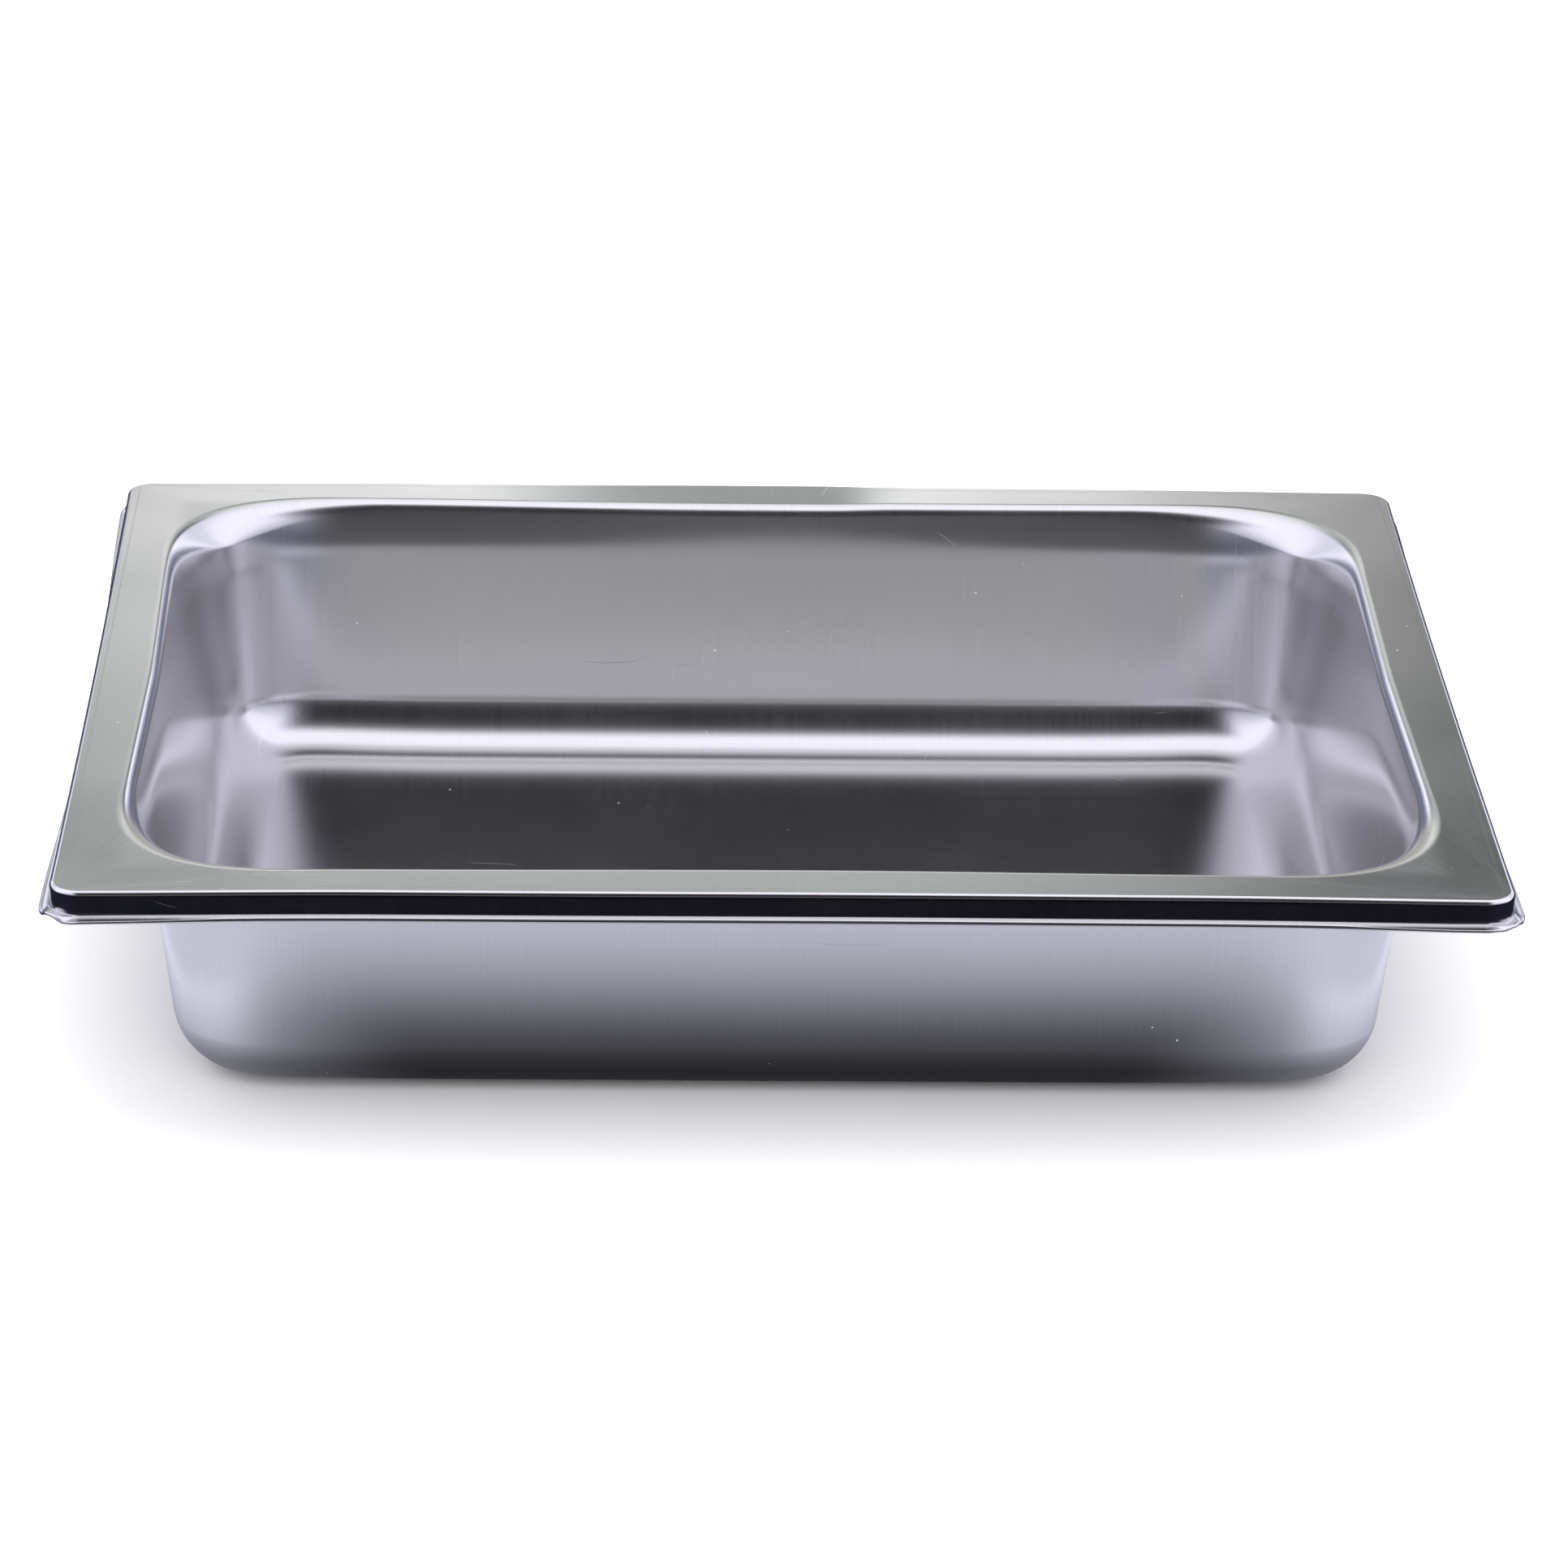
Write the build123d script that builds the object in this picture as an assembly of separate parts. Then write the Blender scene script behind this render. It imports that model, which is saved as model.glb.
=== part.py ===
from build123d import *

import os
from math import cos, pi, radians, sin, tan

# Half-size food pan: one deep-drawn stainless steel sheet, open at the top.
#
# Frame: millimetres, +Z up, origin at the centre of the underside the pan
# stands on. X runs along the long side, Y along the short side.

# ---------------------------------------------------------------- dimensions
LENGTH = 325.0            # over the trimmed lip, along X (GN 1/2 long side)
WIDTH = 265.0             # over the trimmed lip, along Y (GN 1/2 short side)
HEIGHT = 61.5             # table to the top of the flange (2 1/2 in deep class)
SHEET = 0.8               # 22 gauge stainless sheet

LIP_FLARE = 2.2           # how far the trimmed lip stands out past the skirt
RIM_DROP = 6.2            # flange top to the underside of the lip
RIM_BEND = 1.1            # outer radius of the flange-to-skirt bend
LIP_BEND = 1.0            # outer radius of the skirt-to-lip bend
RIM_CORNER = 7.0          # plan radius of the skirt corners

FLANGE = 12.8             # flat landing: skirt face to the start of the roll
ROLL = 3.4                # upper radius where the flange rolls into the wall
WALL_TAPER = 10.0         # wall draft from vertical, degrees
FLOOR_RADIUS = 16.0       # outside radius between wall and floor
BOWL_CORNER = 33.5        # plan radius of the opening, where the roll starts

# ------------------------------------------------------------ derived values
SKIRT_X = LENGTH / 2 - LIP_FLARE      # skirt face, half length
SKIRT_Y = WIDTH / 2 - LIP_FLARE       # skirt face, half width
OPEN_X = SKIRT_X - FLANGE             # start of the roll, half length
OPEN_Y = SKIRT_Y - FLANGE             # start of the roll, half width
DRAFT = radians(WALL_TAPER)


def polar(cx, cz, r, deg):
    """Point in the (outward, up) section plane at an angle about a centre."""
    return (cx + r * cos(radians(deg)), cz + r * sin(radians(deg)))


def arc_pts(cx, cz, r, a0, a1):
    """Start, middle and end of an arc in the section plane."""
    return (polar(cx, cz, r, a0), polar(cx, cz, r, (a0 + a1) / 2), polar(cx, cz, r, a1))


def section(steps):
    """Closed planar face from a list of line ends and three-point arcs.

    Section coordinates are (u, z): u grows outward from the ring datum.
    """
    edges = []
    last = None
    first = None
    for step in steps:
        if len(step) == 3:
            p, q, r = step
            if last is not None and dist(last, p) > 1e-6:
                edges.append(Edge.make_line(v3(last), v3(p)))
            edges.append(Edge.make_three_point_arc(v3(p), v3(q), v3(r)))
            first = first or p
            last = r
        else:
            (p,) = step
            if last is not None and dist(last, p) > 1e-6:
                edges.append(Edge.make_line(v3(last), v3(p)))
            first = first or p
            last = p
    if dist(last, first) > 1e-6:
        edges.append(Edge.make_line(v3(last), v3(first)))
    return Face(Wire(edges))


def dist(a, b):
    return ((a[0] - b[0]) ** 2 + (a[1] - b[1]) ** 2) ** 0.5


def v3(p):
    return (p[0], 0.0, p[1])


def ring(face, half_x, half_y, corner):
    """Carry a section round a rounded rectangle and return the solid pieces.

    The section's u = 0 line follows the rectangle half_x by half_y whose
    corners have the plan radius given: each corner is a quarter turn about its
    own centre and each side is a straight run between two corners.
    """
    run_x = half_x - corner
    run_y = half_y - corner
    pieces = []
    local = face.moved(Location((corner, 0, 0)))
    for k, (sx, sy) in enumerate(((1, 1), (-1, 1), (-1, -1), (1, -1))):
        turned = revolve(local, Axis.Z, 90)
        pieces.append(turned.moved(Location((sx * run_x, sy * run_y, 0), (0, 0, 90 * k))))
    long_bar = extrude(local.moved(Location((0, -run_y, 0))), amount=2 * run_y, dir=(0, 1, 0))
    pieces.append(long_bar.moved(Location((run_x, 0, 0))))
    pieces.append(long_bar.moved(Location((-run_x, 0, 0), (0, 0, 180))))
    side_bar = extrude(local.moved(Location((0, -run_x, 0))), amount=2 * run_x, dir=(0, 1, 0))
    pieces.append(side_bar.moved(Location((0, run_y, 0), (0, 0, 90))))
    pieces.append(side_bar.moved(Location((0, -run_y, 0), (0, 0, -90))))
    return pieces


def rim_section():
    """Flange edge, bend, vertical skirt and the out-turned trimmed lip.

    u = 0 is the skirt's outer face.
    """
    z = HEIGHT
    t = SHEET
    lip_top = z - RIM_DROP + t
    inner_bend = RIM_BEND - t
    return section([
        ((-RIM_BEND - 0.6, z),),
        arc_pts(-RIM_BEND, z - RIM_BEND, RIM_BEND, 90, 0),
        arc_pts(LIP_BEND - t, lip_top + LIP_BEND - t, LIP_BEND - t, 180, 270),
        ((LIP_FLARE, lip_top),),
        ((LIP_FLARE, lip_top - t),),
        arc_pts(LIP_BEND - t, lip_top + LIP_BEND - t, LIP_BEND, 270, 180),
        arc_pts(-RIM_BEND, z - RIM_BEND, inner_bend, 0, 90),
        ((-RIM_BEND - 0.6, z - t),),
    ])


def bowl_section():
    """Roll, tapered wall and floor radius, with short flat tails at both ends.

    u = 0 is the line on the flange where the roll starts.
    """
    z = HEIGHT
    t = SHEET
    a = WALL_TAPER
    # roll: centre straight below the start line
    rc = (0.0, z - ROLL)
    # the wall's inner face leaves the roll where its normal is tilted by the draft
    top_in = polar(rc[0], rc[1], ROLL, 180 - a)
    # floor radius: centre one outside radius above the table, tangent to the wall
    fc_z = FLOOR_RADIUS
    drop = top_in[1] - fc_z
    r_in = FLOOR_RADIUS - t
    # inner wall line passes through top_in with slope set by the draft
    fc_u = top_in[0] - drop * tan(DRAFT) - r_in / cos(DRAFT)
    return section([
        ((0.6, z),),
        arc_pts(rc[0], rc[1], ROLL, 90, 180 - a),
        arc_pts(fc_u, fc_z, r_in, -a, -90),
        ((fc_u - 0.6, t),),
        ((fc_u - 0.6, 0.0),),
        arc_pts(fc_u, fc_z, FLOOR_RADIUS, -90, -a),
        arc_pts(rc[0], rc[1], ROLL - t, 180 - a, 90),
        ((0.6, z - t),),
    ]), fc_u


def plate(half_x, half_y, corner, z0):
    """Sheet-thick rounded rectangle lying flat with its underside at z0."""
    outline = RectangleRounded(2 * half_x, 2 * half_y, corner)
    return extrude(Plane.XY.offset(z0) * outline, amount=SHEET)


def build_pan():
    bowl_face, floor_u = bowl_section()
    pieces = []
    pieces += ring(rim_section(), SKIRT_X, SKIRT_Y, RIM_CORNER)
    pieces += ring(bowl_face, OPEN_X, OPEN_Y, BOWL_CORNER)
    # flat landing between the outer bend and the roll
    landing = plate(SKIRT_X - RIM_BEND, SKIRT_Y - RIM_BEND, RIM_CORNER - RIM_BEND, HEIGHT - SHEET)
    landing -= extrude(
        Plane.XY.offset(HEIGHT - 2 * SHEET) * RectangleRounded(2 * OPEN_X, 2 * OPEN_Y, BOWL_CORNER),
        amount=3 * SHEET,
    )
    pieces.append(landing)
    # flat floor inside the floor radius
    floor = plate(OPEN_X + floor_u, OPEN_Y + floor_u, BOWL_CORNER + floor_u, 0.0)
    pieces.append(floor)
    pan = pieces[0].fuse(*pieces[1:])
    pan = pan.clean()
    solids = pan.solids()
    if len(solids) != 1:
        raise ValueError("the pan should be one sheet, got %d solids" % len(solids))
    return solids[0]


pan = build_pan()
pan.label = "pan"

os.makedirs("parts", exist_ok=True)
export_step(pan, "parts/pan.step")
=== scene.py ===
"""Deli food pan: one deep-drawn brushed steel sheet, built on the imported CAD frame."""
import math

import bpy
import numpy as np
from mathutils import Matrix, Vector


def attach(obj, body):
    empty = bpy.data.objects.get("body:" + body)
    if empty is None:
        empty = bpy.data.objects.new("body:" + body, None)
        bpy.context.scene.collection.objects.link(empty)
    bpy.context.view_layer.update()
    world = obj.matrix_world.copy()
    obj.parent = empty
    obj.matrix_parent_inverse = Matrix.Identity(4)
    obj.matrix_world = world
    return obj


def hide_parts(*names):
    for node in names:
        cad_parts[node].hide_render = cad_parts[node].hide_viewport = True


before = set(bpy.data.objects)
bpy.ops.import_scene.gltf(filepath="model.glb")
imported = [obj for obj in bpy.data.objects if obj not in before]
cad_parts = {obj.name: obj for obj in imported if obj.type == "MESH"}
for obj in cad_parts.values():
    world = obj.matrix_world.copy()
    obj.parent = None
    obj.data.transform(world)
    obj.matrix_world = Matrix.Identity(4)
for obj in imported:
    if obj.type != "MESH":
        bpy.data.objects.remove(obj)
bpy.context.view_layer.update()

# ------------------------------------------------------- the pan's numbers, millimetres
LENGTH, WIDTH, HEIGHT = 325.0, 265.0, 61.5
SHEET = 0.8
LIP_FLARE, RIM_DROP, RIM_BEND, LIP_BEND, RIM_CORNER = 2.2, 6.2, 1.1, 1.0, 7.0
FLANGE, ROLL, TAPER, FLOOR_RADIUS, BOWL_CORNER = 12.8, 3.4, 10.0, 16.0, 33.5
CORNER_ROLL = 9.5         # the drawn roll opens out at the four corners
WALL_LEAN, CORNER_LEAN = 0.36, 1.25   # the wall eases outward just below the roll
SKIRT_X, SKIRT_Y = LENGTH / 2 - LIP_FLARE, WIDTH / 2 - LIP_FLARE
OPEN_X, OPEN_Y = SKIRT_X - FLANGE, SKIRT_Y - FLANGE

# ------------------------------------------------------------------- section of the sheet
# A section is a list of (u, z) points; u grows outward from its ring.


def arc(cu, cz, r, a0, a1, n):
    t = np.radians(np.linspace(a0, a1, n + 1))
    return [(cu + r * math.cos(a), cz + r * math.sin(a)) for a in t]


def run(p, q, n, edge=0.25):
    """Points strictly between p and q, with a close support point at each end."""
    p, q = np.array(p, float), np.array(q, float)
    size = np.linalg.norm(q - p)
    f = [k / n for k in range(1, n)]
    if size > 3 * edge:
        f = [edge / size] + [k for k in f if edge * 1.5 / size < k < 1 - edge * 1.5 / size] + [1 - edge / size]
    return [tuple(p + (q - p) * k) for k in f]


def bowl_skin(upper, roll, lean):
    """From the edge of the flat floor, up the wall and over the roll to the flange.

    roll holds the upper roll radius and lean the wall's easing outward at every
    point of the ring; the result is a list of (u, z) arrays and the place where
    the flange starts.
    """
    d = math.radians(TAPER)
    top = (-ROLL * math.cos(d), HEIGHT - ROLL + ROLL * math.sin(d))
    r_in = FLOOR_RADIUS - SHEET
    fu = top[0] - (top[1] - FLOOR_RADIUS) * math.tan(d) - r_in / math.cos(d)
    rf = r_in if upper else FLOOR_RADIUS
    grow = (roll - ROLL) * (1 - math.sin(d)) / math.cos(d)
    shift = 0.25 * grow + lean
    one = np.ones_like(roll)
    rows = [(u * one, z * one) for u, z in arc(fu, FLOOR_RADIUS, rf, -90, -TAPER, 30)]
    rr = roll if upper else roll - SHEET
    reach = 10.0
    turn = math.pi - d - np.arctan(2 * lean / reach)
    curl = []
    for k in np.linspace(0, 1, 21):
        a = turn + (math.pi / 2 - turn) * k
        curl.append((shift + rr * np.cos(a), HEIGHT - roll + rr * np.sin(a)))
    p, q = rows[-1], (curl[0][0] - lean, curl[0][1])
    tall = q[1] - p[1]
    for k in [0.015] + [k / 30 for k in range(1, 30)] + [0.99]:
        ease = lean * np.maximum(0.0, 1 - (1 - k) * tall / reach) ** 2
        rows.append((p[0] + (q[0] - p[0]) * k + ease, p[1] + (q[1] - p[1]) * k))
    return rows + curl, fu, shift


def rim_skin(upper):
    """From the flange over the bend, down the skirt and out along the lip."""
    t = SHEET
    lip_top = HEIGHT - RIM_DROP + t
    rb = RIM_BEND if upper else RIM_BEND - t
    rl = LIP_BEND - t if upper else LIP_BEND
    bend = arc(-RIM_BEND, HEIGHT - RIM_BEND, rb, 90, 0, 12)
    out = arc(LIP_BEND - t, lip_top + LIP_BEND - t, rl, 180, 270, 10)
    edge = 0.38
    end_z = lip_top if upper else lip_top - t
    return bend + run(bend[-1], out[0], 4, 0.2) + out + run(out[-1], (LIP_FLARE - edge, end_z), 3, 0.15) + [(LIP_FLARE - edge, end_z)]


N_CORNER, N_LONG, N_SHORT = 26, 40, 32
EASED = 2.7               # exponent of the drawn corner; 2 would be a plain arc


def drawn_ring(hx, hy, r):
    """The opening's outline with corners that ease into the sides, and its outward normals."""
    big = r * (1 - math.sqrt(0.5)) / (1 - 2 ** (-1 / EASED))
    pts, out = [], []
    for sx, sy, a0, n in ((1, 1, 0, N_LONG), (-1, 1, 90, N_SHORT), (-1, -1, 180, N_LONG), (1, -1, 270, N_SHORT)):
        cx, cy = sx * (hx - big), sy * (hy - big)
        c0, s0 = round(math.cos(math.radians(a0))), round(math.sin(math.radians(a0)))
        for k in range(N_CORNER + 1):
            t = math.radians(90 * k / N_CORNER)
            c, s = max(math.cos(t), 1e-9), max(math.sin(t), 1e-9)
            size = (c ** EASED + s ** EASED) ** (-1 / EASED)
            x, y = big * c * size, big * s * size
            nx, ny = c ** (EASED - 1), s ** (EASED - 1)
            nn = math.hypot(nx, ny)
            pts.append((cx + c0 * x - s0 * y, cy + s0 * x + c0 * y))
            out.append(((c0 * nx - s0 * ny) / nn, (s0 * nx + c0 * ny) / nn))
        nxt = {(1, 1): (-(hx - big), hy), (-1, 1): (-hx, -(hy - big)), (-1, -1): (hx - big, -hy), (1, -1): (hx, hy - big)}[(sx, sy)]
        p, q, o = np.array(pts[-1]), np.array(nxt), out[-1]
        for k in range(1, n):
            pts.append(tuple(p + (q - p) * k / n))
            out.append(o)
    return np.array(pts), np.array(out)


def ring(hx, hy, r, e=2.0):
    """Points round a rounded rectangle; the same count and order for every row.

    e is 2 for round corners and less for corners pressed flatter.
    """
    pts = []
    for sx, sy, a0, n in ((1, 1, 0, N_LONG), (-1, 1, 90, N_SHORT), (-1, -1, 180, N_LONG), (1, -1, 270, N_SHORT)):
        cx, cy = sx * (hx - r), sy * (hy - r)
        c0, s0 = round(math.cos(math.radians(a0))), round(math.sin(math.radians(a0)))
        for k in range(N_CORNER + 1):
            t = math.radians(90 * k / N_CORNER)
            c, s = max(math.cos(t), 1e-9), max(math.sin(t), 1e-9)
            size = r * (c ** e + s ** e) ** (-1 / e)
            pts.append((cx + size * (c0 * c - s0 * s), cy + size * (s0 * c + c0 * s)))
        # the straight side that follows this corner
        nxt = {(1, 1): (-(hx - r), hy), (-1, 1): (-hx, -(hy - r)), (-1, -1): (hx - r, -hy), (1, -1): (hx, hy - r)}[(sx, sy)]
        p = np.array(pts[-1])
        q = np.array(nxt)
        for k in range(1, n):
            pts.append(tuple(p + (q - p) * k / n))
    return np.array(pts)


def smooth(a, b, x):
    t = np.clip((x - a) / (b - a), 0, 1)
    return t * t * (3 - 2 * t)


def rim_ring(u, z):
    """Outline of the rim; the skirt's corners are pressed flatter toward the lip."""
    flat = float(smooth(0.8, 3.6, HEIGHT - z))
    return ring(SKIRT_X + u, SKIRT_Y + u, RIM_CORNER + u, 2.0 - 0.22 * flat)


def rows_of(upper):
    """Every row of one skin, from the middle of the floor to the lip.

    A row is (points n x 3, length of sheet from the floor's edge, scale on the floor).
    """
    base, out = drawn_ring(OPEN_X, OPEN_Y, BOWL_CORNER)
    side_x, side_y = OPEN_X - BOWL_CORNER, OPEN_Y - BOWL_CORNER
    gap = np.maximum(side_x - np.abs(base[:, 0]), side_y - np.abs(base[:, 1]))
    roll = ROLL + (CORNER_ROLL - ROLL) * (1 - smooth(-26.0, 20.0, gap))
    lean = WALL_LEAN + (CORNER_LEAN - WALL_LEAN) * (1 - smooth(5.0, 110.0, gap)) * (0.35 + 0.65 * smooth(-24.0, 12.0, gap))
    bowl, fu, shift = bowl_skin(upper, roll, lean)
    rim = rim_skin(upper)
    foot = base + out * fu
    rows = []
    for s in (0.012, 0.06, 0.13, 0.22, 0.32, 0.42, 0.52, 0.62, 0.72, 0.81, 0.89, 0.95, 0.985):
        rows.append((foot * s, bowl[0][1], s))
    for u, z in bowl:
        rows.append((base + out * u[:, None], z, 1.0))
    a = base + out * shift[:, None]
    b = ring(SKIRT_X + rim[0][0], SKIRT_Y + rim[0][0], RIM_CORNER + rim[0][0])
    for k in (0.02, 0.1, 0.2, 0.32, 0.44, 0.56, 0.68, 0.8, 0.9, 0.98):
        rows.append((a + (b - a) * k, rim[0][1], 1.0))
    for u, z in rim:
        rows.append((rim_ring(u, z), z, 1.0))
    done, total, last = [], np.zeros(len(base)), None
    for xy, z, s in rows:
        p = np.column_stack([xy, np.broadcast_to(z, len(base))])
        if s == 1.0:
            total = total + (0 if last is None else np.linalg.norm(p - last, axis=1))
            last = p
        done.append((p, total.copy(), s))
    return done, base, out, foot


def spring_back(p):
    """The small, even shape errors a drawn and trimmed sheet keeps, in millimetres."""
    x, y, z = p[:, 0].copy(), p[:, 1].copy(), p[:, 2].copy()
    w = smooth(8.0, 60.0, z)
    mid_y = np.clip(1 - (y / 131.0) ** 2, 0, 1)
    mid_x = np.clip(1 - (x / 161.0) ** 2, 0, 1)
    out = p.copy()
    # sides bow in by under a millimetre at mid length
    out[:, 0] -= np.sign(x) * 0.75 * mid_y * w * smooth(60, 110, np.abs(x))
    out[:, 1] -= np.sign(y) * 0.45 * mid_x * w * smooth(50, 90, np.abs(y))
    # the rim's corners sit a little lower than its middles
    cx, cy = np.abs(x) / 161.0, np.abs(y) / 131.0
    out[:, 2] -= 0.55 * smooth(0.55, 1.0, cx) * smooth(0.5, 1.0, cy) * w
    # slow waves along the flange
    out[:, 2] += w * (0.05 * np.sin(x / 23.0 + 0.7) * mid_x + 0.04 * np.sin(y / 19.0 + 1.9) * mid_y)
    # the trimmed lip stands out less along the sides than at the corners
    low = z < HEIGHT - 3.5
    flare_x = 0.40 + 0.55 * smooth(40, 120, np.abs(y)) + 0.14 * smooth(70, 120, -y)
    over_x = np.maximum(np.abs(x) - SKIRT_X, 0) * low
    out[:, 0] -= np.sign(x) * over_x * (1 - flare_x)
    flare_y = 0.50 + 0.50 * smooth(118, 154, np.abs(x))
    over_y = np.maximum(np.abs(y) - SKIRT_Y, 0) * low
    out[:, 1] -= np.sign(y) * over_y * (1 - flare_y)
    # and droops as it goes out
    out[:, 2] -= 0.55 * np.minimum(np.hypot(over_x * flare_x, over_y * flare_y), 1.15)
    # the skirt stands out a little at the corners
    push = 0.35 * smooth(0.955, 0.985, cx) * smooth(0.945, 0.98, cy) * smooth(0.8, 4.0, HEIGHT - z) * (z > HEIGHT - 8)
    out[:, 0] += np.sign(x) * push
    out[:, 1] += np.sign(y) * push
    # the trimmed corners are slightly wavy
    corner = smooth(0.93, 0.98, cx) * smooth(0.91, 0.97, cy) * (z < HEIGHT - 3.5)
    out[:, 2] += 0.22 * np.sin((x * np.sign(y) - y * np.sign(x)) / 2.1) * corner
    # one flat spot and one raised spot on the far long flange
    tilt = 0.050 * smooth(-85, -6, x) * (1 - smooth(16, 34, x))
    far = smooth(110, 117, y) * (z > HEIGHT - 2.5)
    out[:, 2] += tilt * (y - 124.0) * far * smooth(112, 118, y)
    # the floor lifts a little toward the short sides and sinks in the middle
    low = 1 - smooth(1.5, 14.0, z)
    out[:, 2] += low * (0.55 * smooth(60, 125, np.abs(x)) ** 2 + 0.10 * smooth(30, 95, np.abs(y)))
    # the walls and floor are not quite flat
    wall = smooth(4, 20, z) * (1 - smooth(50, 58, z))
    out[:, 1] += np.sign(y) * 0.05 * np.sin(x / 31.0 + 0.4) * wall * smooth(50, 90, np.abs(y))
    out[:, 0] += np.sign(x) * 0.05 * np.sin(y / 27.0 + 1.1) * wall * smooth(60, 110, np.abs(x))
    return out


def build_pan():
    ups, base, outward, foot = rows_of(True)
    dns = rows_of(False)[0]
    edge = 0.38
    # rounded trimmed edge between the two skins
    z_top, z_bot = HEIGHT - RIM_DROP + SHEET, HEIGHT - RIM_DROP
    rim_end = []
    for sign, z0, turns in ((1, z_top - edge, (22.5, 45, 67.5, 90)), (-1, z_bot + edge, (90, 67.5, 45, 22.5))):
        for a in np.radians(turns):
            u = LIP_FLARE - edge + edge * math.sin(a)
            z = z0 + sign * edge * math.cos(a)
            xy = rim_ring(u, z)
            rim_end.append((np.column_stack([xy, np.full(len(xy), z)]), ups[-1][1] + 0.1 * (len(rim_end) + 1), 1.0))
    rows = [(r, 0) for r in ups] + [(r, 0) for r in rim_end] + [(r, 1) for r in reversed(dns)]
    verts, blank, grain = [], [], []
    for (p, s_len, scale), skin in rows:
        verts.append(p)
        flat = p[:, :2] if scale < 1.0 else foot + outward * s_len[:, None]
        blank.append(np.column_stack([flat, np.full(len(p), 400.0 * skin)]))
        # ring position, constant down the draw, and the length drawn
        grain.append(np.column_stack([base + 3000.0 * skin, s_len if scale == 1.0 else np.zeros(len(p))]))
    m, n = len(rows), len(verts[0])
    v = spring_back(np.concatenate(verts))
    b = np.concatenate(blank)
    gr = np.concatenate(grain)
    faces = []
    for j in range(m - 1):
        for i in range(n):
            k = (i + 1) % n
            faces.append((j * n + i, j * n + k, (j + 1) * n + k, (j + 1) * n + i))
    faces = [tuple(reversed(f)) for f in faces]
    # both floors close with a small flat cap
    faces.append(tuple(range(n)))
    faces.append(tuple(reversed(range((m - 1) * n, m * n))))
    mesh = bpy.data.meshes.new("pan_sheet")
    mesh.from_pydata((v / 1000.0).tolist(), [], faces)
    mesh.update()
    # area-weighted normals keep the long flat rows flat and put the turn in the bends
    quads = np.array(faces[:-2])
    p = v[quads]
    fn = np.cross(p[:, 2] - p[:, 0], p[:, 3] - p[:, 1])
    vn = np.zeros_like(v)
    for c in range(4):
        np.add.at(vn, quads[:, c], fn)
    vn[:n] = (0, 0, 1)
    vn[(m - 1) * n:] = (0, 0, -1)
    vn /= np.linalg.norm(vn, axis=1)[:, None]
    if vn[n * 3 + 1][2] < 0:
        raise ValueError("the upper skin's normals point down")
    for poly in mesh.polygons:
        poly.use_smooth = True
    mesh.normals_split_custom_set_from_vertices(vn.tolist())
    att = mesh.attributes.new("blank", "FLOAT_VECTOR", "POINT")
    att.data.foreach_set("vector", (b / 1000.0).astype(np.float32).ravel())
    att = mesh.attributes.new("draw", "FLOAT_VECTOR", "POINT")
    att.data.foreach_set("vector", (gr / 1000.0).astype(np.float32).ravel())
    # distance inward from the skirt face, on the flange only
    inward = np.minimum(SKIRT_X - np.abs(v[:, 0]), SKIRT_Y - np.abs(v[:, 1]))
    inward = np.where(v[:, 2] > HEIGHT - 1.5, inward, 50.0)
    # direction across the grain: round the ring on the walls, along X on the floor
    count = n
    ring_dir = np.roll(base, -1, axis=0) - np.roll(base, 1, axis=0)
    ring_dir /= np.linalg.norm(ring_dir, axis=1)[:, None]
    across = np.tile(np.column_stack([ring_dir, np.zeros(count)]), (m, 1))
    w_wall = smooth(2.0, 12.0, gr[:, 2])[:, None]
    sign_x = np.where(across[:, 0:1] < 0, -1.0, 1.0)
    across = across * w_wall + np.array([[1.0, 0, 0]]) * (1 - w_wall) * sign_x
    across /= np.maximum(np.linalg.norm(across, axis=1)[:, None], 1e-6)
    att = mesh.attributes.new("across", "FLOAT_VECTOR", "POINT")
    att.data.foreach_set("vector", across.astype(np.float32).ravel())
    att = mesh.attributes.new("flange_in", "FLOAT", "POINT")
    att.data.foreach_set("value", (inward / 1000.0).astype(np.float32))
    uv = mesh.uv_layers.new(name="blank_uv")
    loops = np.zeros(len(mesh.loops), dtype=np.int64)
    mesh.loops.foreach_get("vertex_index", loops)
    uv.data.foreach_set("uv", (b[loops][:, :2] / 1000.0 * 2.0 + 0.5 + (b[loops][:, 2:3] > 0) * 2.0).astype(np.float32).ravel())
    obj = bpy.data.objects.new("pan_sheet", mesh)
    bpy.context.scene.collection.objects.link(obj)
    return obj


# ---------------------------------------------------------------------------- materials


def nodes_of(name):
    mat = bpy.data.materials.new(name)
    mat.use_nodes = True
    nt = mat.node_tree
    nt.nodes.clear()
    return mat, nt


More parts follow.
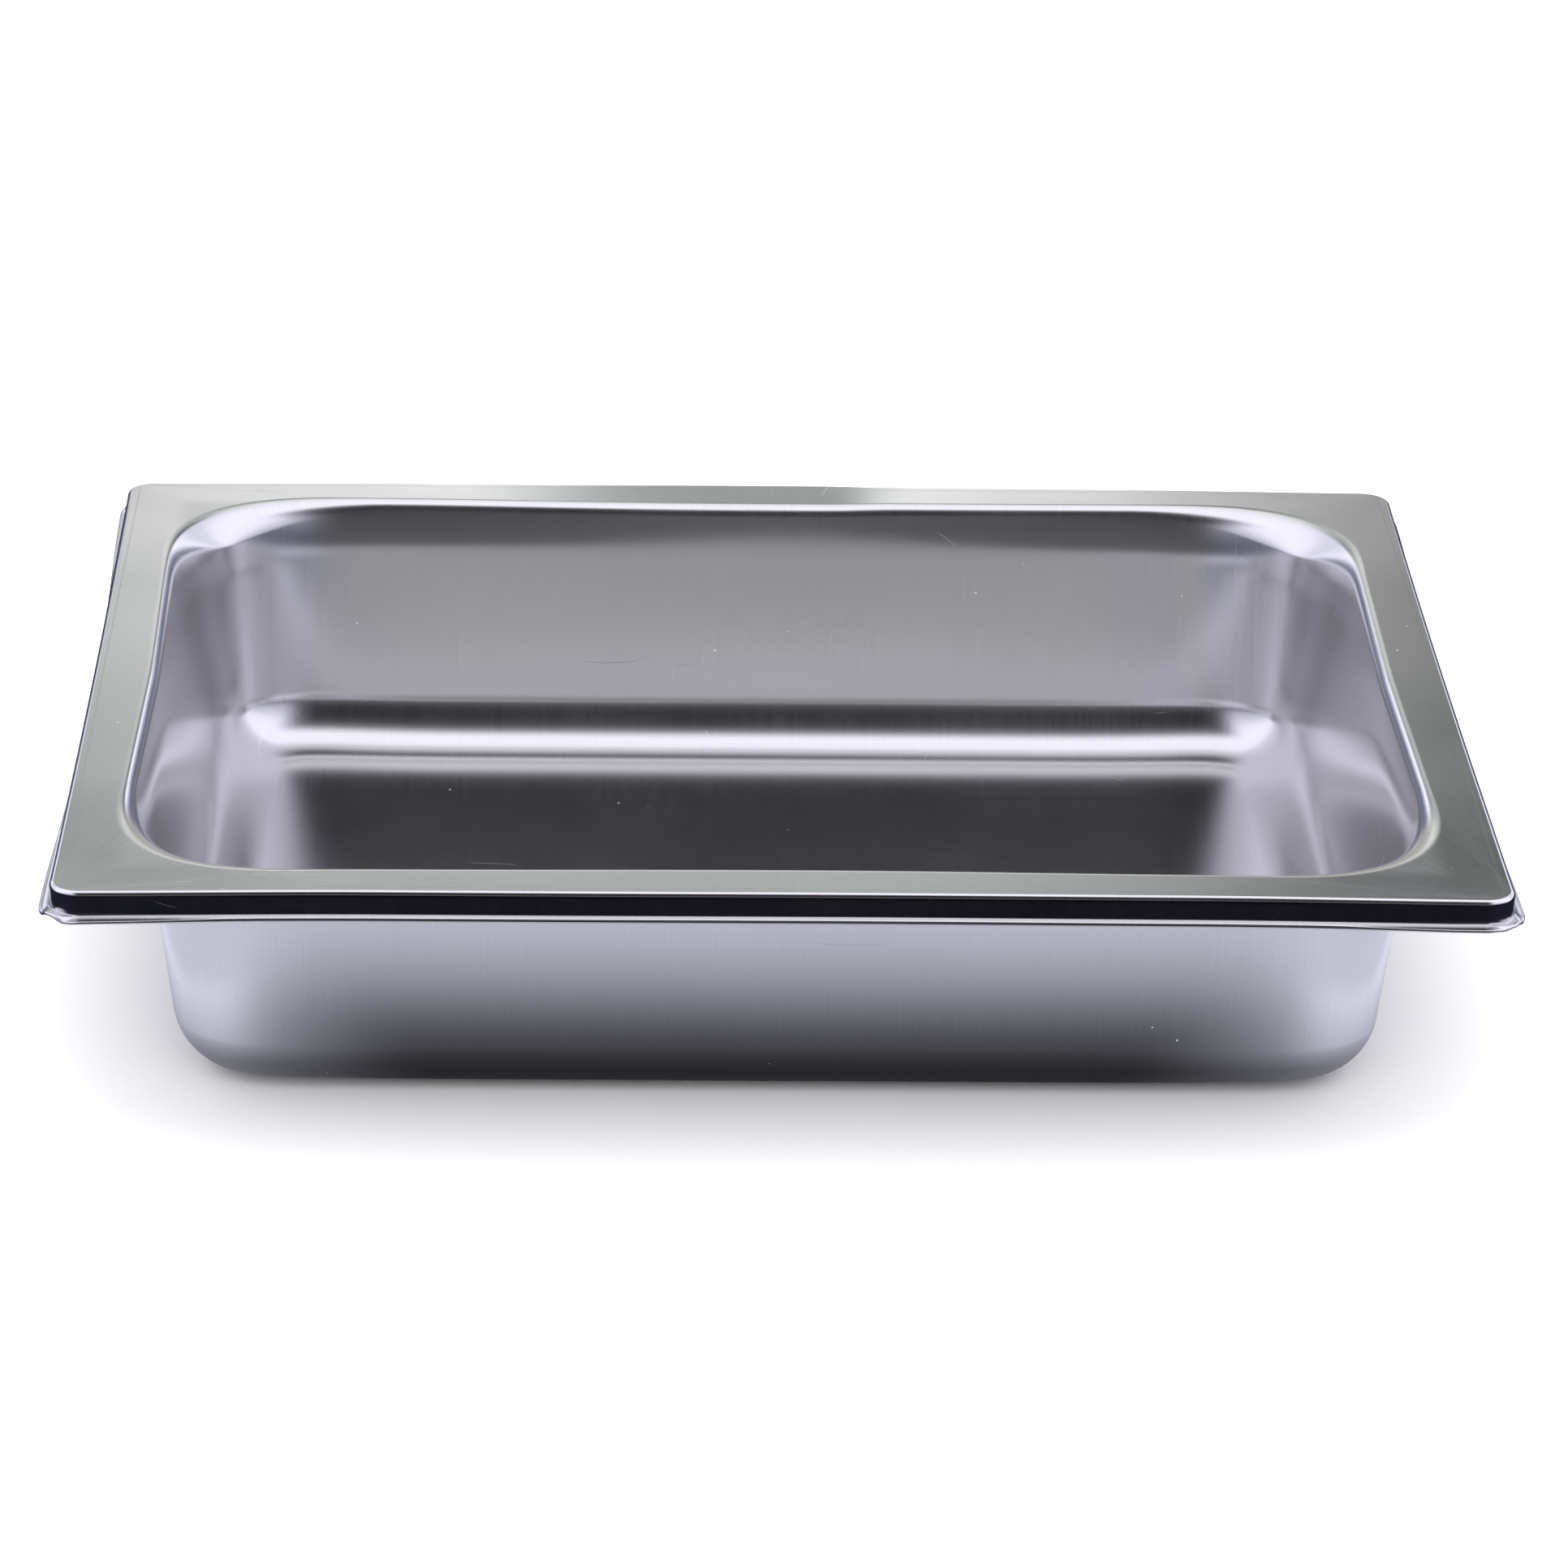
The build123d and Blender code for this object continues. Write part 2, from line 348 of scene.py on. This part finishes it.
class Net:
    """A few short helpers for making node networks."""

    def __init__(self, nt):
        self.nt = nt

    def node(self, kind, **props):
        nd = self.nt.nodes.new(kind)
        for k, val in props.items():
            setattr(nd, k, val)
        return nd

    def link(self, a, b):
        self.nt.links.new(a, b)

    def put(self, socket, val):
        if isinstance(val, bpy.types.NodeSocket):
            self.link(val, socket)
        elif val is not None:
            socket.default_value = val

    def math(self, op, a, b=None, c=None, clamp=False):
        nd = self.node("ShaderNodeMath", operation=op, use_clamp=clamp)
        for s, val in zip(nd.inputs, (a, b, c)):
            self.put(s, val)
        return nd.outputs[0]

    def vmath(self, op, a, b=None):
        nd = self.node("ShaderNodeVectorMath", operation=op)
        self.put(nd.inputs[0], a)
        self.put(nd.inputs[1], b)
        return nd.outputs[0]

    def remap(self, x, a, b, c=0.0, d=1.0, smoothly=True):
        nd = self.node("ShaderNodeMapRange", interpolation_type="SMOOTHSTEP" if smoothly else "LINEAR", clamp=True)
        for s, val in zip(nd.inputs, (x, a, b, c, d)):
            self.put(s, val)
        return nd.outputs[0]

    def noise(self, vec, scale, detail=2.0, rough=0.5, distort=0.0):
        nd = self.node("ShaderNodeTexNoise", noise_dimensions="3D")
        self.put(nd.inputs["Vector"], vec)
        nd.inputs["Scale"].default_value = scale
        nd.inputs["Detail"].default_value = detail
        nd.inputs["Roughness"].default_value = rough
        nd.inputs["Distortion"].default_value = distort
        return nd.outputs["Fac"]

    def ramp(self, fac, stops, top=1.0):
        """Colour ramp; stop colours are divided by top, to be multiplied back later."""
        nd = self.node("ShaderNodeValToRGB")
        self.put(nd.inputs[0], fac)
        els = nd.color_ramp.elements
        while len(els) < len(stops):
            els.new(0.5)
        for e, (pos, col) in zip(els, stops):
            e.position = pos
            e.color = (col[0] / top, col[1] / top, col[2] / top, 1)
        return nd.outputs[0]

    def mix(self, fac, a, b):
        nd = self.node("ShaderNodeMix", data_type="RGBA")
        self.put(nd.inputs[0], fac)
        self.put(nd.inputs[6], a)
        self.put(nd.inputs[7], b)
        return nd.outputs[2]


def steel_material():
    """Number-4 style sheet finish: fine grain along the draw, handled and washed."""
    mat, nt = nodes_of("brushed_steel")
    g = Net(nt)
    sheet = g.node("ShaderNodeAttribute", attribute_name="blank").outputs["Vector"]
    draw = g.node("ShaderNodeAttribute", attribute_name="draw").outputs["Vector"]
    coord = g.node("ShaderNodeTexCoord").outputs["Object"]
    split = g.node("ShaderNodeSeparateXYZ")
    g.link(draw, split.inputs[0])
    down = split.outputs[2]
    # grain on the walls and flange runs down the draw, on the floor along the sheet's Y
    on_wall = g.remap(down, 0.002, 0.012)

    def streak(scale, detail, rough, slow):
        a = g.noise(g.vmath("MULTIPLY", draw, (1.0, 1.0, slow)), scale, detail, rough)
        b = g.noise(g.vmath("MULTIPLY", sheet, (1.0, slow, 1.0)), scale, detail, rough)
        return g.math("ADD", g.math("MULTIPLY", a, on_wall), g.math("MULTIPLY", b, g.math("SUBTRACT", 1.0, on_wall)))

    fine = streak(2400.0, 2.0, 0.6, 0.02)
    mid = streak(800.0, 2.0, 0.55, 0.03)
    wide = streak(170.0, 2.0, 0.5, 0.06)
    smudge = g.noise(coord, 24.0, 3.0, 0.55, 0.4)
    cloud = g.noise(coord, 9.0, 2.0, 0.5)
    # hairline scratches: thin level lines of a stretched noise, kept only in patches
    s1 = g.noise(g.vmath("MULTIPLY", sheet, (1.0, 0.35, 1.0)), 26.0, 1.0, 0.4, 0.6)
    line1 = g.math("SUBTRACT", 1.0, g.remap(g.math("ABSOLUTE", g.math("SUBTRACT", s1, 0.5)), 0.0, 0.0016))
    keep1 = g.remap(g.noise(coord, 34.0, 1.0, 0.5), 0.64, 0.70)
    s2 = g.noise(g.vmath("MULTIPLY", sheet, (0.5, 1.0, 1.0)), 40.0, 1.0, 0.4, 0.2)
    line2 = g.math("SUBTRACT", 1.0, g.remap(g.math("ABSOLUTE", g.math("SUBTRACT", s2, 0.52)), 0.0, 0.0018))
    keep2 = g.remap(g.noise(g.vmath("ADD", coord, (0.31, 0.17, 0.0)), 38.0, 1.0, 0.5), 0.66, 0.71)
    scratch = g.math("MAXIMUM", g.math("MULTIPLY", line1, keep1), g.math("MULTIPLY", line2, keep2))
    # a wiping arc of hairlines on one front corner of the flange
    sweep = g.node("ShaderNodeVectorMath", operation="DISTANCE")
    g.link(coord, sweep.inputs[0])
    sweep.inputs[1].default_value = (-0.0830, -0.0100, 0.0615)
    sweep = sweep.outputs["Value"]
    hair = g.math("ABSOLUTE", g.math("SUBTRACT", g.math("FRACT", g.math("MULTIPLY", sweep, 820.0)), 0.5))
    hair = g.math("SUBTRACT", 1.0, g.remap(hair, 0.02, 0.09))
    spot = g.node("ShaderNodeVectorMath", operation="DISTANCE")
    g.link(coord, spot.inputs[0])
    spot.inputs[1].default_value = (-0.1080, -0.1225, 0.0615)
    near = g.remap(spot.outputs["Value"], 0.018, 0.008)
    band = g.math("MULTIPLY", g.remap(sweep, 0.1105, 0.1120), g.remap(sweep, 0.1165, 0.1150))
    hair = g.math("MULTIPLY", g.math("MULTIPLY", hair, near), g.math("MULTIPLY", band, g.remap(g.noise(coord, 420.0, 1.0, 0.5), 0.40, 0.60)))
    scratch = g.math("MAXIMUM", scratch, g.math("MULTIPLY", hair, 0.8))
    # a faint round mark on the skirt, left by a sticker or a stamp's back
    mark = g.node("ShaderNodeVectorMath", operation="DISTANCE")
    g.link(coord, mark.inputs[0])
    mark.inputs[1].default_value = (-0.0865, -0.1303, 0.0580)
    mark = g.math("SUBTRACT", 1.0, g.remap(g.math("ABSOLUTE", g.math("SUBTRACT", mark.outputs["Value"], 0.0015)), 0.0, 0.00022))
    scratch = g.math("MAXIMUM", scratch, g.math("MULTIPLY", mark, 0.35))
    # a scuffed length of the lip on one short side
    worn = g.node("ShaderNodeVectorMath", operation="DISTANCE")
    g.link(coord, worn.inputs[0])
    worn.inputs[1].default_value = (0.1615, -0.1020, 0.0555)
    worn = g.math("MULTIPLY", g.remap(worn.outputs["Value"], 0.022, 0.012), g.remap(g.noise(coord, 900.0, 3.0, 0.7), 0.42, 0.58))
    # dry specks of dust, small and sparse
    cells = g.node("ShaderNodeTexVoronoi", feature="F1")
    g.link(sheet, cells.inputs["Vector"])
    cells.inputs["Scale"].default_value = 120.0
    pick = g.node("ShaderNodeSeparateColor")
    g.link(cells.outputs["Color"], pick.inputs[0])
    speck = g.math("MULTIPLY", g.math("LESS_THAN", cells.outputs["Distance"], g.math("MULTIPLY", pick.outputs[1], 0.045)), g.math("GREATER_THAN", pick.outputs[0], 0.55))
    # a faint dark line near the outer edge of the flange, painted shade for the dark reflection where the flange starts
    # to bend down; it also roughens the steel a little
    edge = g.node("ShaderNodeAttribute", attribute_name="flange_in").outputs["Fac"]
    painted_shade_line = g.math("SUBTRACT", 1.0, g.remap(g.math("ABSOLUTE", g.math("SUBTRACT", edge, 0.003)), 0.0, 0.00045))
    # roughness
    on_flange = g.remap(edge, 0.018, 0.012)
    worn = g.math("MULTIPLY", worn, g.math("GREATER_THAN", edge, 0.020))
    rough = g.math("ADD", g.math("SUBTRACT", 0.195, g.math("MULTIPLY", on_flange, 0.045)), g.math("MULTIPLY", g.math("SUBTRACT", fine, 0.5), 0.05))
    rough = g.math("ADD", rough, g.math("MULTIPLY", g.math("SUBTRACT", mid, 0.5), 0.03))
    rough = g.math("ADD", rough, g.math("MULTIPLY", g.math("SUBTRACT", smudge, 0.5), 0.07))
    rough = g.math("ADD", rough, g.math("MULTIPLY", painted_shade_line, 0.03))
    rough = g.math("ADD", rough, g.math("MULTIPLY", worn, 0.22))
    rough = g.math("ADD", rough, g.math("MULTIPLY", scratch, 0.12), clamp=True)
    # colour
    tone = g.math("ADD", g.math("MULTIPLY", g.math("SUBTRACT", wide, 0.5), 0.04), g.math("MULTIPLY", g.math("SUBTRACT", mid, 0.5), 0.06))
    tone = g.math("ADD", tone, g.math("MULTIPLY", g.math("SUBTRACT", fine, 0.5), 0.26))
    tone = g.math("ADD", tone, g.math("MULTIPLY", g.math("SUBTRACT", cloud, 0.5), 0.10))
    base = g.mix(g.math("ADD", 0.5, tone, clamp=True), (0.50, 0.50, 0.505, 1), (0.74, 0.735, 0.74, 1))
    # painted shade: darken the faint line near the flange's outer edge
    base = g.mix(g.math("MULTIPLY", painted_shade_line, 0.25), base, (0.40, 0.40, 0.40, 1))
    base = g.mix(g.math("MULTIPLY", worn, 0.45), base, (0.30, 0.29, 0.28, 1))
    base = g.mix(g.math("MULTIPLY", scratch, 0.5), base, (0.85, 0.85, 0.86, 1))
    # bump
    h = g.math("ADD", g.math("MULTIPLY", fine, 0.50), g.math("MULTIPLY", mid, 0.14))
    h = g.math("SUBTRACT", h, g.math("MULTIPLY", scratch, 1.2))
    bump = g.node("ShaderNodeBump")
    bump.inputs["Strength"].default_value = 0.35
    bump.inputs["Distance"].default_value = 0.00002
    g.link(h, bump.inputs["Height"])
    metal = g.math("SUBTRACT", 1.0, g.math("MULTIPLY", speck, 0.8))
    bs = g.node("ShaderNodeBsdfPrincipled")
    g.link(metal, bs.inputs["Metallic"])
    g.link(base, bs.inputs["Base Color"])
    g.link(rough, bs.inputs["Roughness"])
    # the grain spreads highlights sideways, across its own direction
    bs.inputs["Anisotropic"].default_value = 0.5
    turn = g.node("ShaderNodeVectorTransform", vector_type="VECTOR", convert_from="OBJECT", convert_to="WORLD")
    g.link(g.node("ShaderNodeAttribute", attribute_name="across").outputs["Vector"], turn.inputs[0])
    g.link(turn.outputs[0], bs.inputs["Tangent"])
    g.link(bump.outputs["Normal"], bs.inputs["Normal"])
    out = g.node("ShaderNodeOutputMaterial")
    g.link(bs.outputs[0], out.inputs[0])
    return mat


def floor_material():
    mat, nt = nodes_of("pale_floor")
    g = Net(nt)
    bs = g.node("ShaderNodeBsdfPrincipled")
    bs.inputs["Base Color"].default_value = (0.86, 0.86, 0.865, 1)
    bs.inputs["Roughness"].default_value = 0.9
    bs.inputs["Specular IOR Level"].default_value = 0.1
    out = g.node("ShaderNodeOutputMaterial")
    g.link(bs.outputs[0], out.inputs[0])
    return mat


# ------------------------------------------------------------------------------- studio


def sheet_object(name, corners, mat, camera=True, glossy=True, diffuse=True, shadow=True):
    mesh = bpy.data.meshes.new(name)
    mesh.from_pydata(corners, [], [tuple(range(k, k + 4)) for k in range(0, len(corners), 4)])
    mesh.materials.append(mat)
    o = bpy.data.objects.new(name, mesh)
    bpy.context.scene.collection.objects.link(o)
    o.visible_camera, o.visible_glossy, o.visible_diffuse, o.visible_shadow = camera, glossy, diffuse, shadow
    o.visible_transmission = camera
    return o


def tint(v, kind):
    r, g, b = {"cool": (0.985, 0.965, 1.055), "blue": (0.84, 0.93, 1.28), "lavender": (0.965, 0.955, 1.12), "plain": (0.985, 0.99, 1.0), "green": (0.94, 1.02, 0.99), "warm": (1.0, 0.992, 0.90)}[kind]
    return (v * r, v * g, v * b)


TOP = 2.2
# turn over the pan in degrees: 0 is the horizon in front, 90 overhead, 180 the horizon behind
MIDDLE = [
    (0, 0.12, "plain"), (10, 0.13, "plain"), (18, 0.10, "cool"), (28, 0.03, "plain"), (38, 0.015, "plain"), (48, 0.018, "cool"),
    (58, 0.05, "cool"), (66, 0.18, "cool"), (72, 0.50, "cool"), (78, 1.10, "cool"), (84, 1.50, "cool"), (110, 1.48, "cool"),
    (126, 1.32, "cool"), (136, 1.22, "plain"), (144, 0.92, "green"), (151, 0.42, "green"), (155.5, 0.44, "green"),
    (157, 0.58, "green"), (158.5, 1.00, "plain"), (160, 1.52, "plain"), (161.5, 1.45, "plain"), (164.5, 0.69, "warm"), (170, 0.54, "warm"), (180, 0.52, "warm"),
]
SIDES = [
    (0, 0.13, "blue"), (12, 0.19, "blue"), (24, 0.78, "lavender"), (45, 1.15, "lavender"), (60, 1.45, "lavender"), (90, 1.55, "lavender"),
    (125, 1.50, "lavender"), (140, 1.10, "lavender"), (150, 0.96, "lavender"), (156, 1.62, "lavender"), (161, 1.90, "lavender"), (165, 0.36, "blue"), (170, 0.19, "blue"), (180, 0.19, "blue"),
]


def world_light():
    """A soft studio surround: pale to the camera, with listed light and dark bands in reflections."""
    world = bpy.data.worlds.new("studio")
    bpy.context.scene.world = world
    world.use_nodes = True
    nt = world.node_tree
    nt.nodes.clear()
    g = Net(nt)
    d = g.node("ShaderNodeTexCoord").outputs["Generated"]
    sp = g.node("ShaderNodeSeparateXYZ")
    g.link(d, sp.inputs[0])
    x, y, z = sp.outputs
    ang = g.math("DIVIDE", g.math("ARCTAN2", z, g.math("MULTIPLY", y, -1.0)), math.pi)
    middle = g.ramp(ang, [(a / 180, tint(v, k)) for a, v, k in MIDDLE], TOP)
    sides = g.ramp(ang, [(a / 180, tint(v, k)) for a, v, k in SIDES], TOP)
    # the steep part of the backdrop is darker toward the right
    steep = g.math("MULTIPLY", g.remap(ang, 160.5 / 180, 166.0 / 180, 1.0, 0.2), g.remap(ang, 138.0 / 180, 146.0 / 180))
    lean = g.math("ADD", g.remap(x, 0.058, 0.142, 0.0, 0.76), g.remap(x, -0.050, -0.090, 0.0, 0.30))
    dim = g.math("MULTIPLY", steep, lean)
    middle = g.mix(dim, middle, (0, 0, 0, 1))
    # soft boxes at both sides, wider in front than behind
    ax = g.math("ABSOLUTE", x)
    front = g.remap(ax, 0.16, 0.48)
    back = g.remap(ax, 0.160, 0.235)
    behind = g.remap(y, -0.2, 0.2)
    wide = g.math("ADD", g.math("MULTIPLY", back, behind), g.math("MULTIPLY", front, g.math("SUBTRACT", 1.0, behind)))
    env = g.mix(wide, middle, sides)
    boost = g.vmath("MULTIPLY", env, (TOP, TOP, TOP))
    path = g.node("ShaderNodeLightPath")
    fill = g.mix(path.outputs["Is Diffuse Ray"], boost, (1.25, 1.25, 1.26, 1))
    col = g.mix(path.outputs["Is Camera Ray"], fill, (0.96, 0.96, 0.965, 1))
    bg = g.node("ShaderNodeBackground")
    g.link(col, bg.inputs[0])
    bg.inputs[1].default_value = 1.0
    out = g.node("ShaderNodeOutputWorld")
    g.link(bg.outputs[0], out.inputs[0])


def painted_reflection_card():
    """A glowing card seen only in the steel's reflections, painted light standing in for a table top: a painted shadow
    dark close in, pale a hand's width out, then painted dark.
    """
    stops = [
        # half width of the ring, seen in front, seen at the corners and short sides
        (60, 0.03, 0.06), (90, 0.03, 0.12), (105, 0.035, 0.26), (117, 0.065, 0.44), (124, 0.105, 0.56), (130, 0.18, 0.66), (137.5, 0.32, 0.78), (145, 0.50, 0.86),
        (153, 0.66, 0.90), (161, 0.80, 0.93), (172, 0.86, 0.94), (190, 0.62, 0.80), (206, 0.13, 0.25), (216, 0.006, 0.02), (520, 0.006, 0.006), (9000, 0.006, 0.006),
    ]
    # painted reflection: each ring glows with a painted shadow of the pan close in, pale further out, and near black
    # far out, tinted blue there
    verts, glow = [], []
    for h, mid, end in stops:
        pts = ring(h + 30, h, max(20.0, h - 84))
        n = len(pts)
        ex = np.abs(pts[:, 0]) / np.maximum(1.0, (h + 30) / 150.0)
        c = smooth(78, 142, ex)
        v = mid + (end - mid) * c
        if h < 150:
            v = v * (1 + 0.25 * smooth(0.5, 1.0, c))
        verts.append(np.column_stack([pts / 1000.0, np.full(n, -0.0001)]))
        blue = 1.9 if h > 210 else 1.13
        glow.append(np.column_stack([v * 0.955, v * 0.965, v * blue, np.ones(n)]))
    m = len(stops)
    faces = [(j * n + i, j * n + (i + 1) % n, (j + 1) * n + (i + 1) % n, (j + 1) * n + i) for j in range(m - 1) for i in range(n)]
    mesh = bpy.data.meshes.new("painted_reflection_card")
    mesh.from_pydata(np.concatenate(verts).tolist(), [], faces)
    att = mesh.attributes.new("glow", "FLOAT_COLOR", "POINT")
    att.data.foreach_set("color", np.concatenate(glow).astype(np.float32).ravel())
    mat, nt = nodes_of("painted_reflection_card")
    g = Net(nt)
    em = g.node("ShaderNodeEmission")
    g.link(g.node("ShaderNodeAttribute", attribute_name="glow").outputs["Color"], em.inputs[0])
    em.inputs[1].default_value = 1.0
    out = g.node("ShaderNodeOutputMaterial")
    g.link(em.outputs[0], out.inputs[0])
    mesh.materials.append(mat)
    o = bpy.data.objects.new("painted_reflection_card", mesh)
    bpy.context.scene.collection.objects.link(o)
    # the card is seen only by glossy rays, as a painted reflection
    o.visible_camera = o.visible_diffuse = o.visible_shadow = o.visible_transmission = False


def studio():
    floor = sheet_object("floor", [(-12, -12, 0), (12, -12, 0), (12, 12, 0), (-12, 12, 0)], floor_material())
    floor.location.z = -0.0002
    # a glowing card that paints shadow and dark into the steel's reflections
    painted_reflection_card()
    # one large soft overhead light for the floor and the contact shadow
    for name, loc, size, power in (("overhead", (0.0, -0.1, 1.9), 3.4, 36.0), ("front_fill", (0.0, -2.2, 1.4), 1.6, 14.0)):
        light = bpy.data.lights.new(name, "AREA")
        light.shape = "SQUARE"
        light.size = size
        light.energy = power
        o = bpy.data.objects.new(name, light)
        o.location = loc
        o.rotation_euler = (Vector((0, 0, 0.03)) - Vector(loc)).to_track_quat("-Z", "Y").to_euler()
        o.visible_camera = False
        o.visible_glossy = False
        bpy.context.scene.collection.objects.link(o)


def camera():
    k = 0.99564
    f, p, yaw, roll = 7879.4662, 0.3946, 0.0323, 0.0196
    t = np.array([-2.8711, -26.1413, 1516.3899]) * k
    cy, sy = math.cos(yaw), math.sin(yaw)
    rz = np.array([[cy, -sy, 0], [sy, cy, 0], [0, 0, 1]])
    cp, sp = math.cos(p), math.sin(p)
    c = np.array([[1, 0, 0], [0, -sp, -cp], [0, cp, -sp]])
    cr, sr = math.cos(roll), math.sin(roll)
    r = np.array([[cr, -sr, 0], [sr, cr, 0], [0, 0, 1]]) @ c @ rz
    loc = (-r.T @ t + np.array([0, 0, HEIGHT])) / 1000.0
    m = Matrix([[r[0][i], -r[1][i], -r[2][i], loc[i]] for i in range(3)] + [[0, 0, 0, 1]])
    cam = bpy.data.cameras.new("camera")
    cam.sensor_width = 36.0
    cam.lens = f / 1932.0 * 36.0
    cam.clip_start, cam.clip_end = 0.05, 60.0
    o = bpy.data.objects.new("camera", cam)
    o.matrix_world = m
    bpy.context.scene.collection.objects.link(o)
    bpy.context.scene.camera = o


pan = build_pan()
steel = steel_material()
pan.data.materials.append(steel)
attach(pan, "root")
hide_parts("pan")
world_light()
studio()
camera()

scene = bpy.context.scene
scene.view_settings.view_transform = "Standard"
scene.view_settings.look = "None"
scene.cycles.max_bounces = 16
scene.cycles.glossy_bounces = 12
scene.cycles.diffuse_bounces = 4

bpy.context.view_layer.update()
